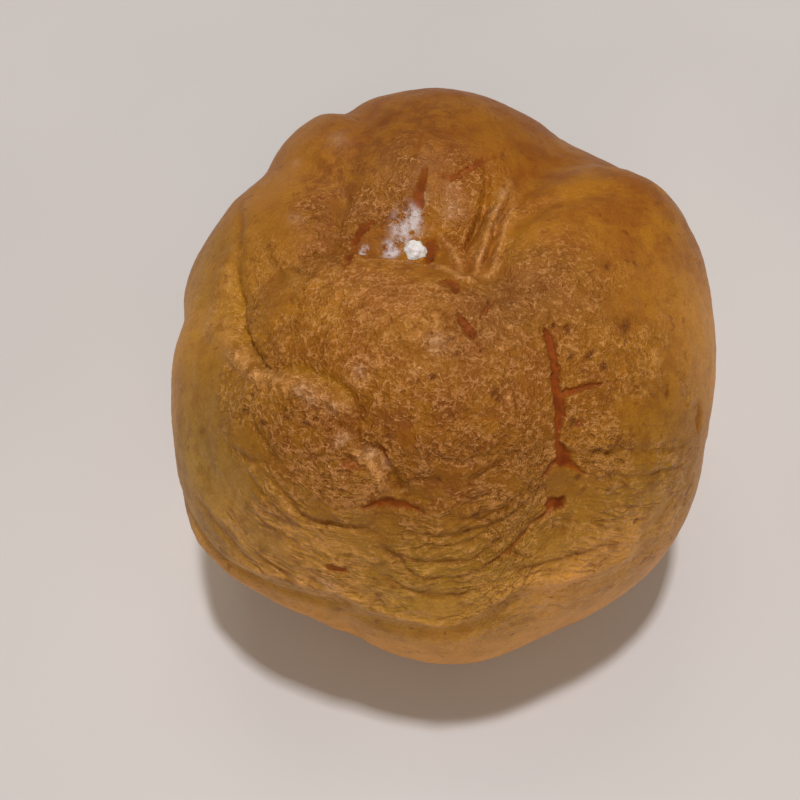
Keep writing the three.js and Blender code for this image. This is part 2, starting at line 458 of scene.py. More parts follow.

# fine creases, with painted shade darkening the crust in them
CREASES = {
    "left long": groove(0.45, 0.45, (-143, 39), (-138, 38), (-134, 37), (-131, 36)),
    "left short": groove(0.35, 0.4, (-142, 32), (-137, 33), (-135, 34), (-132, 36)),
    "left middle": groove(0.4, 0.4, (-131, 33), (-126, 31), (-123, 29), (-120, 29), (-113, 29)),
    "left front": groove(0.5, 0.4, (-121, 28), (-117, 29), (-114, 29), (-111, 29), (-107, 28)),
    "left waist": groove(0.3, 0.7, (-146, 16), (-138, 15), (-132, 12)),
    "left foot": groove(0.35, 0.45, (-130, 15), (-126, 14), (-123, 13)),
    "left fine": groove(0.25, 0.35, (-136, 31), (-131, 29), (-128, 28)),
    "front short": groove(0.35, 0.35, (-108, 25.5), (-104, 24), (-100, 21)),
    "front first": groove(0.35, 0.35, (-94, 33), (-88, 32), (-83, 33), (-78, 35), (-74, 37)),
    "front second": groove(0.35, 0.35, (-100, 29), (-93, 29), (-89, 30), (-83, 31)),
    "front third": groove(0.32, 0.35, (-98, 27), (-94, 27), (-89, 28), (-85, 30), (-80, 32), (-73, 35)),
    "front fourth": groove(
        0.36, 0.4, (-107, 26), (-103, 24), (-99, 24), (-95, 24), (-89, 24), (-86, 26), (-82, 28),
    ),
    "front fifth": groove(0.34, 0.4, (-109, 22), (-106, 20), (-102, 18), (-97, 17), (-91, 17), (-86, 19)),
    "front sixth": groove(0.28, 0.35, (-104, 21.5), (-99, 21), (-93, 20.5), (-88, 22), (-84, 24)),
    "right first": groove(0.3, 0.35, (-61, 38.5), (-54, 34), (-45, 29), (-39, 25)),
    "right second": groove(0.35, 0.5, (-82, 21), (-75, 20), (-68, 19), (-61, 18)),
    "right third": groove(0.3, 0.4, (-57, 31), (-50, 27), (-43, 23), (-38, 18)),
    "left line": groove(0.4, 0.5, (149, 39), (159, 44), (170, 46), (178, 44)),
    "ledge edge": groove(0.5, 0.4, (-161, 44.5), (-151, 45.5), (-143, 47.5), (-137, 49)),
    "hollow upper": groove(0.35, 0.45, (155, 56), (160, 61), (170, 67)),
    "hollow middle": groove(0.3, 0.4, (167, 56), (170, 60), (-171, 68)),
    "hollow lower": groove(0.3, 0.4, (175, 54), (-175, 59), (-165, 64)),
    "hollow side": groove(0.3, 0.45, (135, 60), (146, 62), (158, 64)),
    "left slope": groove(0.35, 0.6, (164, 50), (174, 52), (-171, 56)),
    "dome side": groove(0.25, 0.35, (-97, 44), (-90, 43), (-83, 44), (-77, 47)),
    "dome low": groove(0.3, 0.35, (-101, 40), (-94, 39.5), (-87, 40), (-80, 42), (-74, 45)),
}

# how strongly a fold shows painted shade, a deeper gold in its groove
SHADED_GROOVES = {
    "base groove": 1.0, "lip line": 0.5, "ledge crease": 0.8, "left crease": 0.8, "stair crease": 0.6,
}
# how strongly a ridge fold shows a painted highlight along its top
HIGHLIT_RIDGES = {
    "ledge ridge": 1.0, "stair ridge": 0.8, "fan ridge far": 1.2, "fan ridge near": 0.8,
    "fan ridge middle": 0.9, "rim ridge": 1.3, "rim line": 0.9, "left crest": 0.4, "blister ring": 0.7,
    "inner ring": 0.8, "base lip": 1.0, "base ridge": 0.6, "lip ridge": 0.4,
}


def strongest(strengths: dict[str, float], d: np.ndarray) -> np.ndarray:
    """How strongly the strongest of some folds shows.

    Args:
        strengths: how strongly each shows in its middle, by its name.
        d: unit directions, one a row.

    Returns:
        One value a direction, 0 away from them all.
    """
    shares = [strength * FOLDS[name].cut(d) / FOLDS[name].depth for name, strength in strengths.items()]
    return np.max(shares, axis=0)


def tear(depth: float, bare: float, *places: tuple[float, float, float]) -> Split:
    """A split with the usual lip.

    Args:
        depth: its depth in mm.
        bare: how bare of crust its floor is, from 0 to 1.
        places: the (lon, lat, half width in mm) it runs through.

    Returns:
        The split.
    """
    return Split(Line(places), depth, bare)


SPLITS = {
    "long split": tear(
        0.6, 1.0, (-50, 61, -0.1), (-51, 60.2, 0.35), (-52, 59, 0.75), (-53, 58, 0.75), (-56, 55, 0.6),
        (-60, 51, 0.65), (-61, 49, 0.8), (-63, 46, 0.85), (-65, 44, 0.5), (-66, 42, 0.25), (-66, 40, 0.8),
        (-66, 38.5, 1.2),
    ),
    "branch": tear(
        0.5, 0.9, (-61, 49, 0.6), (-58, 49, 0.5), (-53, 48, 0.35), (-48, 46.5, 0.1), (-42, 43, -0.1),
    ),
    "left foot": tear(0.5, 0.8, (-66, 38.5, 0.6), (-69, 38.5, 0.5), (-72, 37, 0.1)),
    "right foot": tear(0.5, 0.9, (-66, 38.5, 0.7), (-64.5, 36.5, 0.5), (-63, 34.5, 0.2), (-61, 33, -0.1)),
    "round tear": tear(0.6, 1.0, (-71.5, 31, 0.85), (-69.5, 30.5, 0.85)),
    "thin tail": tear(
        0.5, 0.6, (-72, 30, 0.5), (-76, 29, 0.2), (-79, 27, 0.3), (-82, 25, 0.45), (-86, 23, 0.1),
    ),
    "tail fork": tear(0.3, 0.4, (-82, 25, 0.3), (-79, 23, 0.2), (-77, 22, 0.0)),
    "short split": tear(0.5, 0.9, (-86, 70, 0.3), (-84, 68, 0.6), (-82, 66, 0.6), (-81, 63, 0.1)),
    "short branch": tear(0.3, 0.6, (-82, 67, 0.4), (-76, 68, 0.15), (-68, 70, 0.3), (-58, 71, 0.0)),
    "top tear": tear(0.4, 0.8, (-93, 78.4, 0.5), (-86, 78.2, 1.0), (-84, 77, 0.8), (-85, 74.6, 0.1)),
    "front tuck": tear(0.5, 0.9, (-111, 33.5, 0.3), (-108, 34.5, 0.6), (-104, 34.5, 0.6), (-99, 34, 0.1)),
    "rear tear": tear(0.5, 0.8, (88, 68, 0.1), (80, 69, 0.5), (75, 68, 0.4), (68, 65, 0.5), (59, 59, 0.0)),
    "back tear": tear(0.4, 0.9, (95, 67, 0.3), (101, 70.5, 0.6), (105, 72, 1.0), (109, 72.5, 0.5)),
    "far tear": tear(0.3, 0.5, (94, 59, 0.1), (97, 62, 0.4), (100, 65, 0.1)),
    "side tear": tear(
        0.5, 1.0, (141, 69, 0.3), (148, 68.5, 0.8), (157, 68, 0.5), (167, 68.5, 0.2), (-173, 69.5, 0.6),
        (-165, 68, 0),
    ),
    "dab side": tear(0.3, 0.9, (110, 82, 0.7), (118, 84, 1.0), (150, 86, 0.8)),
    "floor tear": tear(0.2, 0.7, (157, 75, 0.8), (161, 76, 0.8)),
    "base tear": tear(0.4, 0.8, (-115.5, 19.5, 0.8), (-113.5, 19.5, 0.6)),
    "right slit": tear(0.3, 0.45, (-30, 27.5, 0.3), (-32, 25.5, 0.8), (-33, 23.5, 0.3)),
    "ledge tear": tear(0.3, 0.6, (-111, 45, 0.1), (-109, 43.5, 0.4), (-107, 42, 0.1)),
    "spot tear": tear(0.2, 0.7, (-62, 43, 0.2), (-60, 43, 0.45), (-58, 43.5, 0.1)),
    "cross tear": tear(0.2, 0.5, (-51, 60, 0.2), (-47, 59, 0.45), (-43, 58, 0.1)),
    "lobe tear": tear(0.2, 0.5, (-117, 41, 0.5), (-115, 40.5, 0.6), (-113, 40.5, 0.2)),
}


@dataclass
class CrustShape:
    """The form of the crust: the reach from the heart in every direction, in mm."""

    heart_height: float = 24.0
    half_width: float = 36.5
    half_depth: float = 37.5
    rise: float = 31.0
    drop: float = 27.5
    roundness_above: float = 2.35
    roundness_below: float = 3.0
    hollow_depth: float = 4.0
    hollow_edge: float = 1.5
    shoulder_ease: float = 0.15
    crease_rounding: float = 0.5

    def body(self, d: np.ndarray) -> np.ndarray:
        """Reach of the plain body with its swells.

        Args:
            d: unit directions, one a row.

        Returns:
            Millimetres from the heart.
        """
        power = np.where(d[:, 2] > 0, self.roundness_above, self.roundness_below)
        level = np.hypot(d[:, 0] / self.half_width, d[:, 1] / self.half_depth)
        upright = np.abs(d[:, 2]) / np.where(d[:, 2] > 0, self.rise, self.drop)
        reach = (level**power + upright**power) ** (-1 / power)
        for swell in SWELLS.values():
            reach = reach + swell.rise * swell.patch.fade(d)
        return reach

    def lobing(self, d: np.ndarray) -> np.ndarray:
        """How far the highest lobe stands out of the plain body.

        Args:
            d: unit directions, one a row.

        Returns:
            Millimetres, less than 0 in the sunken top.
        """
        sink = -self.hollow_depth * np.exp(-self.hollow_edge * HOLLOW.share(d))
        heights = [sink]
        for lobe in LOBES.values():
            q = np.maximum(1 - lobe.patch.share(d), -1)
            side = q * (q * q + self.shoulder_ease**2) ** ((lobe.shoulder - 1) / 2)
            heights.append(lobe.rise * side + (sink if lobe.sinks else 0))
        stack = np.array(heights)
        top = stack.max(axis=0)
        spread = np.exp((stack - top) / self.crease_rounding).sum(axis=0)
        return top + self.crease_rounding * np.log(spread)


class Zone(Enum):
    """What the crust is like in a part of it, kept on the mesh for the finish to read."""

    SPLIT = "split"
    FLOW = "flow"
    CRINKLE = "crinkle"
    TOAST = "toast"
    # paler near the tray, with painted sheen on the right and left sides
    PALE = "pale"
    OLIVE = "olive"
    ASH = "ash"
    SPECK = "speck"
    BLISTER = "blister"
    # painted shade in the grooves
    GROOVE_SHADE = "groove"
    SUGAR = "sugar"
    # painted highlight along the ridges
    RIDGE_HIGHLIGHT = "ridge_highlight"
    # painted shade in the fine creases
    CREASE = "crease"


WEAVE = "weave"                  # what the places laid out round the domes are kept as

# small scorched specks: longitude, latitude and half size in mm
SPECKS = (
    (-14, 57, 0.7), (-9, 52, 0.6), (-30, 50, 0.8), (-46, 52, 0.9), (-45, 49, 0.8), (-45, 58, 0.8),
    (-47, 60, 0.5), (-90, 62, 0.6), (-98, 58, 0.6), (-91, 65, 0.5), (-78, 53, 0.6), (-88, 33, 0.7),
    (-90, 30, 0.6), (-96, 40, 1.0), (-59, 43, 0.8), (-59, 29, 0.6), (-144, 39, 0.6), (-145, 42, 0.6),
    (-138, 40, 0.7), (-134, 43, 0.7), (-31, 50, 0.9), (-37, 37, 0.6), (-55, 19, 0.6), (-61, 44, 0.9),
    (-51, 54, 0.8), (-80, 62, 0.5), (-79, 54, 0.6), (-129, 44, 0.6), (-58, 37, 0.7), (-64, 34, 0.6),
    (-100, 66, 0.5), (-66, 71, 0.5), (124, 82, 0.35), (140, 80, 0.3),
)
# small pale blisters: longitude, latitude and half size in mm
BLISTERS = (
    (-122, 56, 0.8), (-125, 49, 0.9), (-131, 48, 0.9), (-108, 42, 0.8), (-116, 15, 1.2), (-98, 64, 1.2),
    (-119, 44, 0.8), (-112, 43, 0.8), (-134, 48.5, 0.8), (76, 75.5, 1.9), (82, 72.5, 1.5),
    (40, 73, 0.7), (46, 68, 0.8), (100, 72, 1.0), (121, 51, 1.5), (134, 46, 0.9), (157, 55.5, 1.0),
)


@dataclass
class ChouxBun:
    """The baked bun: one closed crust with its lobes, folds, splits and wrinkled skin.

    Heights and depths are in mm. Each zone's method says how strong it is in any direction.
    """

    shape: CrustShape = field(default_factory=CrustShape)
    steps: int = 82
    top_bias: tuple[float, float, float] = (0.0, -0.2, 0.38)
    fine_flow: float = 0.45
    fine_crinkle: float = 0.62
    fine_margin: float = 0.8
    wave_height: float = 0.45
    flow_height: float = 0.27
    flow_lumps: float = 0.22
    crinkle_height: float = 0.20
    crinkle_lumps: float = 0.26
    knot_height: float = 0.7
    rumple_height: float = 0.6
    blister_height: float = 0.18
    speck_depth: float = 0.15
    ridge_mean: float = 0.4
    least_flow: float = 0.16
    least_crinkle: float = 0.26
    most_ridge_highlight: float = 1.3
    speck_shape: tuple[float, float] = (1.05, 0.65)
    speck_turn: float = 25.0
    seeds: tuple[int, int, int] = (11, 23, 37)
    right_dome: tuple[float, float] = (-22, 50)
    front_dome: tuple[float, float] = (-112, 64)
    parting: tuple[tuple[float, float], tuple[float, float]] = ((-52, 61), (-80, 25))
    parting_ease: float = 0.16
    round_dome: float = 0.7

    def __post_init__(self) -> None:
        """Sets up the random fields."""
        self.waves, self.skin, self.edges = (Grain(seed) for seed in self.seeds)
        self.shift = np.zeros(3)

    # ---- zones

    def flow(self, d: np.ndarray) -> np.ndarray:
        """Strength of the long wrinkles that run round the domes.

        Args:
            d: unit directions, one a row.

        Returns:
            0 to 1 a direction.
        """
        low = Patch(-92, 25, 26, 13).fade(d) * 1.2
        right = Patch(-55, 24, 16, 13).fade(d)
        left = Patch(-127, 26, 13, 13, -20).fade(d) * 0.65
        return np.clip((low + right + left) * self.patchy(d), self.least_flow, 1)

    def crinkle(self, d: np.ndarray) -> np.ndarray:
        """Strength of the crumpled skin on the domes.

        Args:
            d: unit directions, one a row.

        Returns:
            0 to 1 a direction.
        """
        front = Patch(-112, 60, 24, 15).fade(d) * 1.3
        crown = Patch(-122, 70, 17, 7).fade(d) * 0.5
        strip = Patch(-62, 58, 13, 20).fade(d)
        ridge = Patch(-134, 42, 17, 8).fade(d) * 0.85 + self.rumple(d)
        top = Patch(115, 70, 15, 10).fade(d) * 0.7 + Patch(55, 77, 9, 8).fade(d) * 1.2
        top = top + Patch(170, 60, 10, 7).fade(d) * 0.8
        right = Patch(-38, 54, 13, 15).fade(d) * 0.7
        smooth = Patch(-108, 49, 4, 3).fade(d) * 0.8
        domes = (front + strip + ridge + top + right) * self.patchy(d)
        return np.clip(domes + crown - smooth, self.least_crinkle, 1)

    def patchy(self, d: np.ndarray) -> np.ndarray:
        """Smoother places among the wrinkles.

        Args:
            d: unit directions, one a row.

        Returns:
            Factors, less than 1 where the skin lies smoother.
        """
        return 0.3 + 0.8 * smoothstep(-0.3, 0.2, self.waves.layered(d * 6.5, 2))

    def toast(self, d: np.ndarray) -> np.ndarray:
        """How browned the crust is.

        Args:
            d: unit directions, one a row.

        Returns:
            0 to 1 a direction.
        """
        rear = Patch(90, 48, 26, 20).fade(d) * 0.6
        above_hollow = Patch(125, 63, 13, 7).fade(d) * 1.7
        strip = Patch(-56, 66, 14, 12).fade(d) * 0.5
        front = Patch(-96, 45, 16, 12).fade(d)
        ridge = Patch(-120, 40, 14, 7).fade(d) * 0.6 + Patch(-120, 40.5, 6, 3.5).fade(d) * 0.8
        hollow = Patch(150, 74, 7, 4).fade(d) * 0.7
        return np.clip(rear + above_hollow + strip + front + ridge + hollow, 0, 1)

    def pale(self, d: np.ndarray) -> np.ndarray:
        """How pale the crust is, near the tray and on the waist, where the right and left sides are
        lightened as painted sheen.

        Args:
            d: unit directions, one a row.

        Returns:
            0 to 1 a direction.
        """
        lat = np.degrees(np.arcsin(np.clip(d[:, 2], -1, 1)))
        low = 1 - smoothstep(-10, 26, lat + 7 * self.waves.layered(d * 3.0, 3))
        # painted sheen: the right side and the far left side are lightened where light grazes them
        right = Patch(-14, 24, 9, 15).fade(d) * 0.9
        left = Patch(-178, 22, 9, 14).fade(d) * 0.7 + Patch(-124, 22, 10, 6).fade(d) * 0.4
        left = left + Patch(-69, 16, 9, 4).fade(d) * 0.8
        rear = Patch(140, 48, 10, 9).fade(d) * 0.5
        return np.clip(low + right + left + rear, 0, 1)

    def olive(self, d: np.ndarray) -> np.ndarray:
        """How green the gold of the crust is.

        Args:
            d: unit directions, one a row.

        Returns:
            0 to 1 a direction.
        """
        front = Patch(-110, 16, 36, 16).fade(d) * 1.1
        left = Patch(172, 36, 12, 12).fade(d) * 0.6 + Patch(-152, 22, 14, 16).fade(d) * 0.55
        right = Patch(-45, 22, 20, 16).fade(d) * 0.5
        return np.clip(front + left + right, 0, 1)

    def ash(self, d: np.ndarray) -> np.ndarray:
        """How grey and dry the brown of the crust is.

        Args:
            d: unit directions, one a row.

        Returns:
            0 to 1 a direction.
        """
        strip = Patch(-60, 70, 10, 5, 20).fade(d) * 0.65
        right = Patch(-32, 62, 6, 8).fade(d) * 0.5
        hollow = Patch(122, 64, 9, 5).fade(d) * 0.5
        return np.clip(strip + right + hollow, 0, 1)

    def speck(self, d: np.ndarray) -> np.ndarray:
        """Where small scorched specks sit.

        Args:
            d: unit directions, one a row.

        Returns:
            0 to 1 a direction.
        """
        rough = 1 + 0.9 * self.edges.layered(d * 45, 2)
        wide, tall = self.speck_shape
        ovals = [Patch(lon, lat, wide * size, tall * size, self.speck_turn) for lon, lat, size in SPECKS]
        spots = np.max([oval.fade(d) for oval in ovals], axis=0)
        return smoothstep(0.30, 0.85, spots * rough)

    def blister(self, d: np.ndarray) -> np.ndarray:
        """Where small pale blisters of thin skin sit.

        Args:
            d: unit directions, one a row.

        Returns:
            0 to 1 a direction.
        """
        spots = [Patch(lon, lat, size, size).fade(d) for lon, lat, size in BLISTERS]
        return np.max(spots, axis=0)

    def groove(self, d: np.ndarray) -> np.ndarray:
        """Where the crust is folded in and painted a deeper gold as shade in the groove.

        Args:
            d: unit directions, one a row.

        Returns:
            0 to 1 a direction.
        """
        return strongest(SHADED_GROOVES, d)

    def crease(self, d: np.ndarray) -> np.ndarray:
        """Where a fine crease runs, with painted shade darkening the crust in it.

        Args:
            d: unit directions, one a row.

        Returns:
            0 to 1 a direction.
        """
        away = 0.4 * self.edges.layered(d * 30, 2)
        return np.clip(np.max([f.cut(d) / f.depth for f in CREASES.values()], axis=0) * (1 + away), 0, 1)

    def ridge_highlight(self, d: np.ndarray) -> np.ndarray:
        """Where a painted highlight lightens the crust along the ridges, rings and lip.

        Args:
            d: unit directions, one a row.

        Returns:
            0 to about 1 a direction, and a little more on the sharpest ridges.
        """
        crown = Patch(-122, 70, 15, 6).fade(d) * 0.35
        low = Patch(-66, 15, 11, 4.5).fade(d) * 0.6 + Patch(-124, 20, 12, 7).fade(d) * 0.4
        return np.clip(strongest(HIGHLIT_RIDGES, d) + crown + low, 0, self.most_ridge_highlight)

    def rumple(self, d: np.ndarray) -> np.ndarray:
        """Strength of the coarse crumpling on the ledges.

        Args:
            d: unit directions, one a row.

        Returns:
            0 to 1 a direction.
        """
        ledge = Patch(-135, 47, 15, 3.6, -8).fade(d)
        stair = Patch(-115, 44, 7, 3.4).fade(d)
        strip = Patch(-60, 67, 9, 6).fade(d) * 0.7
        return np.clip(ledge + stair + strip, 0, 1)

    def sugar(self, d: np.ndarray) -> np.ndarray:
        """How much sugar dust lies in the sunken top.

        Args:
            d: unit directions, one a row.

        Returns:
            0 to 1 a direction.
        """
        haze = Patch(124, 75.2, 3.2, 2.5, 30).fade(d) * 1.1 + Patch(112, 73.5, 1.2, 1.0).fade(d) * 0.6
        left = Patch(159, 76, 2.1, 1.5).fade(d) * 1.2
        bit = Patch(169, 70.8, 1.5, 0.55).fade(d) * 1.3
        return np.clip(haze + left + bit, 0, 1)

    def ragged(self, d: np.ndarray) -> np.ndarray:
        """How far the edges of the splits wander, in mm.

        Args:
            d: unit directions, one a row.

        Returns:
            One value a direction.
        """
        return 0.06 + 0.5 * self.edges.layered(d * 38, 3)

    def split(self, d: np.ndarray) -> np.ndarray:
        """How far inside a split directions lie.

        Args:
            d: unit directions, one a row.

        Returns:
            0 to 1 a direction.
        """
        ragged = self.ragged(d)
        return np.max([s.opening(d, ragged) for s in SPLITS.values()], axis=0)

    def weave(self, d: np.ndarray) -> np.ndarray:
        """Places laid out round the nearer dome, so that wrinkles can run round it.

        Args:
            d: unit directions, one a row.

        Returns:
            Three lengths a direction in mm: out from the dome's middle, and two round it.
        """
        parting = np.cross(*(direction(lon, lat) for lon, lat in self.parting))
        beyond = d @ (parting / np.linalg.norm(parting))
        right = smoothstep(-self.parting_ease, self.parting_ease, beyond)[:, None]
        middle = right * direction(*self.right_dome) + (1 - right) * direction(*self.front_dome)
        middle /= np.linalg.norm(middle, axis=1, keepdims=True)
        across = np.cross([0.0, 0.0, 1.0], middle)
        across /= np.linalg.norm(across, axis=1, keepdims=True)
        up = np.cross(middle, across)
        u, v = (d * across).sum(axis=1), (d * up).sum(axis=1)
        out = GLOBE * np.arccos(np.clip((d * middle).sum(axis=1), -1, 1))
        size = self.round_dome * GLOBE / np.maximum(np.hypot(u, v), TINY)
        return np.stack([out, u * size, v * size], axis=1)

    # ---- form

    def relief(self, d: np.ndarray) -> np.ndarray:
        """Height of the skin's waves and wrinkles, in mm.

        Args:
            d: unit directions, one a row.

        Returns:
            One value a direction.
        """
        p = d * GLOBE
        drift = self.waves.pushes(p, size=5.0, apart=31.7)
        sway = self.edges.pushes(p, size=2.2, apart=13.1)
        waves = self.waves.layered(p / 9.0, 3)
        long = (self.weave(d) + 1.8 * drift + 0.5 * sway) * [1.05, 0.28, 0.28]
        wrinkles = self.skin.ridged(long, 2, 0.6) - self.ridge_mean
        crumple = self.skin.ridged((p + 1.0 * drift + 0.4 * sway) * 1.15 + 5.0, 2, 0.6) - self.ridge_mean
        lumps = self.skin.layered((p + 1.5 * drift) / 3.4, 2)
        knots = self.skin.ridged((p + 0.8 * drift + 0.4 * sway) / 1.7 + 3.0, 3, 0.6) - self.ridge_mean
        still = 1 - self.split(d)
        out = self.wave_height * waves * (1 - 0.6 * self.pale(d))
        out = out + still * self.flow(d) * (self.flow_height * wrinkles + self.flow_lumps * lumps)
        out = out + still * self.crinkle(d) * (self.crinkle_height * crumple + self.crinkle_lumps * lumps)
        rumples = self.knot_height * knots + self.rumple_height * self.waves.layered(p / 2.6, 2)
        out = out + self.rumple(d) * rumples
        return out + self.blister_height * self.blister(d) - self.speck_depth * self.speck(d)

    def reach(self, d: np.ndarray) -> np.ndarray:
        """Distance from the heart to the crust, in mm.

        Args:
            d: unit directions, one a row.

        Returns:
            One value a direction.
        """
        reach = self.shape.body(d) + self.shape.lobing(d)
        for fold in (*FOLDS.values(), *CREASES.values()):
            reach = reach - fold.cut(d)
        ragged = self.ragged(d)
        cuts = np.array([s.cut(d, ragged) for s in SPLITS.values()])
        deepest = cuts.max(axis=0)
        reach = reach - np.where(deepest > 0, deepest, cuts.min(axis=0))
        return reach + self.relief(d)

    def place(self, d: np.ndarray) -> np.ndarray:
        """Points of the crust, in mm, with the underside cut level.

        Args:
            d: unit directions, one a row.

        Returns:
            One point a direction, from the middle of the underside of the plain body.
        """
        reach = self.reach(d)
        fall = np.maximum(-d[:, 2], TINY)
        to_tray = np.where(d[:, 2] < -TINY, self.shape.heart_height / fall, np.inf)
        points = d * np.minimum(reach, to_tray)[:, None]
        points[:, 2] += self.shape.heart_height
        return points

    def seat(self, d: np.ndarray) -> np.ndarray:
        """Points on the finished crust, in metres, in the part's own frame.

        Args:
            d: unit directions, one a row.

        Returns:
            One point a direction.
        """
        return self.place(d) * MM + self.shift

    def near_split(self, d: np.ndarray, margin: float) -> np.ndarray:
        """Which directions lie in or near a split.

        Args:
            d: unit directions, one a row.
            margin: how near, in mm.

        Returns:
            True or False a direction.
        """
        close = np.zeros(len(d), bool)
        for split in SPLITS.values():
            away, _, half = split.line.measure(d)
            close |= away < half + margin
        return close

    def seen_from_above(self, d: np.ndarray) -> np.ndarray:
        """Which directions lie on the wrinkled top and front, which gets the finer mesh.

        Args:
            d: unit directions, one a row.

        Returns:
            True or False a direction.
        """
        return (self.flow(d) > self.fine_flow) | (self.crinkle(d) > self.fine_crinkle)

    def build(self) -> bpy.types.Object:
        """Makes the bun's mesh, finer where the skin is wrinkled or torn.

        Returns:
            The bun, with its zones kept as attributes.
        """
        grid = blown_up_cube(self.steps, np.array(self.top_bias))
        refine(grid, self.seen_from_above)
        refine(grid, lambda d: self.near_split(d, self.fine_margin))
        grid.verts.ensure_lookup_table()
        d = np.array([v.co for v in grid.verts])
        d /= np.linalg.norm(d, axis=1, keepdims=True)
        points = self.place(d) * MM
        self.shift = shift_into_box(points, "choux_bun")
        points += self.shift
        for v, p in zip(grid.verts, points):
            v.co = p
        bun = as_object(grid, "choux_bun_crust")
        for zone in Zone:
            store(bun, zone.value, "FLOAT", getattr(self, zone.value)(d))
        store(bun, WEAVE, "FLOAT_VECTOR", self.weave(d))
        return bun


def blown_up_cube(steps: int, bias: np.ndarray) -> bmesh.types.BMesh:
    """A ball of quads: a cube's grid blown up evenly, drawn towards one side.

    Args:
        steps: quads along each edge of the cube.
        bias: where the quads are drawn to; longer draws more.

    Returns:
        The ball, of radius 1.
    """
    ball = bmesh.new()
    turns = np.tan(np.linspace(-math.pi / 4, math.pi / 4, steps + 1))
    found: dict[tuple[int, int, int], bmesh.types.BMVert] = {}

    def corner(key: tuple[int, int, int]) -> bmesh.types.BMVert:
        """The ball's point for a point of the cube's grid, made once.

        Args:
            key: the grid point's steps along each axis.

        Returns:
            The ball's point.
        """
        if key not in found:
            p = np.array([turns[k] for k in key])
            p = p / np.linalg.norm(p) + bias
            found[key] = ball.verts.new(p / np.linalg.norm(p))
        return found[key]

    for axis in range(3):
        across, up = (axis + 1) % 3, (axis + 2) % 3
        for end in (0, steps):
            for i in range(steps):
                for j in range(steps):
                    ring = [(i, j), (i + 1, j), (i + 1, j + 1), (i, j + 1)]
                    keys = []
                    for a, b in ring if end else reversed(ring):
                        key = [0, 0, 0]
                        key[axis], key[across], key[up] = end, a, b
                        keys.append(tuple(key))
                    ball.faces.new([corner(key) for key in keys])
    return ball


def refine(ball: bmesh.types.BMesh, wanted: Callable[[np.ndarray], np.ndarray]) -> None:
    """Cuts the wanted faces of a ball in four.

    Args:
        ball: the ball, changed in place.
        wanted: says of unit directions, one a row, whether to cut there.
    """
    centres = np.array([f.calc_center_median() for f in ball.faces])
    centres /= np.linalg.norm(centres, axis=1, keepdims=True)
    chosen = wanted(centres)
    edges = {e for f, take in zip(ball.faces, chosen) if take for e in f.edges}
    bmesh.ops.subdivide_edges(ball, edges=list(edges), cuts=1, use_grid_fill=True)


def shift_into_box(points: np.ndarray, node: str) -> np.ndarray:
    """The move that centres points over a node's box and stands them on its foot.

    Args:
        points: points in metres, one a row.
        node: the node whose box they fill.

    Returns:
        The move.
    """
    low, high = (np.array(corner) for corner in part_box(node))
    mine_low, mine_high = points.min(axis=0), points.max(axis=0)
    shift = (low + high - mine_low - mine_high) / 2
    shift[2] = low[2] - mine_low[2]
    return shift


def as_object(shape: bmesh.types.BMesh, name: str) -> bpy.types.Object:
    """Turns mesh code into a smooth-shaded object in the scene.

    Args:
        shape: the mesh, freed afterwards.
        name: the object's name.

    Returns:
        The object.
    """
    mesh = bpy.data.meshes.new(name)
    shape.to_mesh(mesh)
    shape.free()
    mesh.shade_smooth()
    made = bpy.data.objects.new(name, mesh)
    bpy.context.scene.collection.objects.link(made)
    return made


def store(piece: bpy.types.Object, name: str, kind: str, values: np.ndarray) -> None:
    """Keeps values on a mesh for its finish to read.

    Args:
        piece: the object whose mesh holds them.
        name: what they are kept as.
        kind: "FLOAT" or "FLOAT_VECTOR".
        values: one value or row a vertex.
    """
    kept = piece.data.attributes.new(name, kind, "POINT")
    kept.data.foreach_set("value" if kind == "FLOAT" else "vector", values.astype(np.float32).ravel())


# ---------------------------------------------------------------- finishes


def tone(code: str) -> Color:
    """A paint colour from its hex code.

    Args:
        code: six hex digits, as on a paint chart.

    Returns:
        Red, green, blue and alpha as a shader takes them.
    """
    parts = [int(code[i : i + 2], 16) / 255 for i in (0, 2, 4)]
    return (*(c / 12.92 if c <= 0.04045 else ((c + 0.055) / 1.055) ** 2.4 for c in parts), 1.0)


@dataclass(frozen=True)
class Coat:
    """A colour laid over others, and how much of it shows where it is fullest."""

    code: str
    strength: float


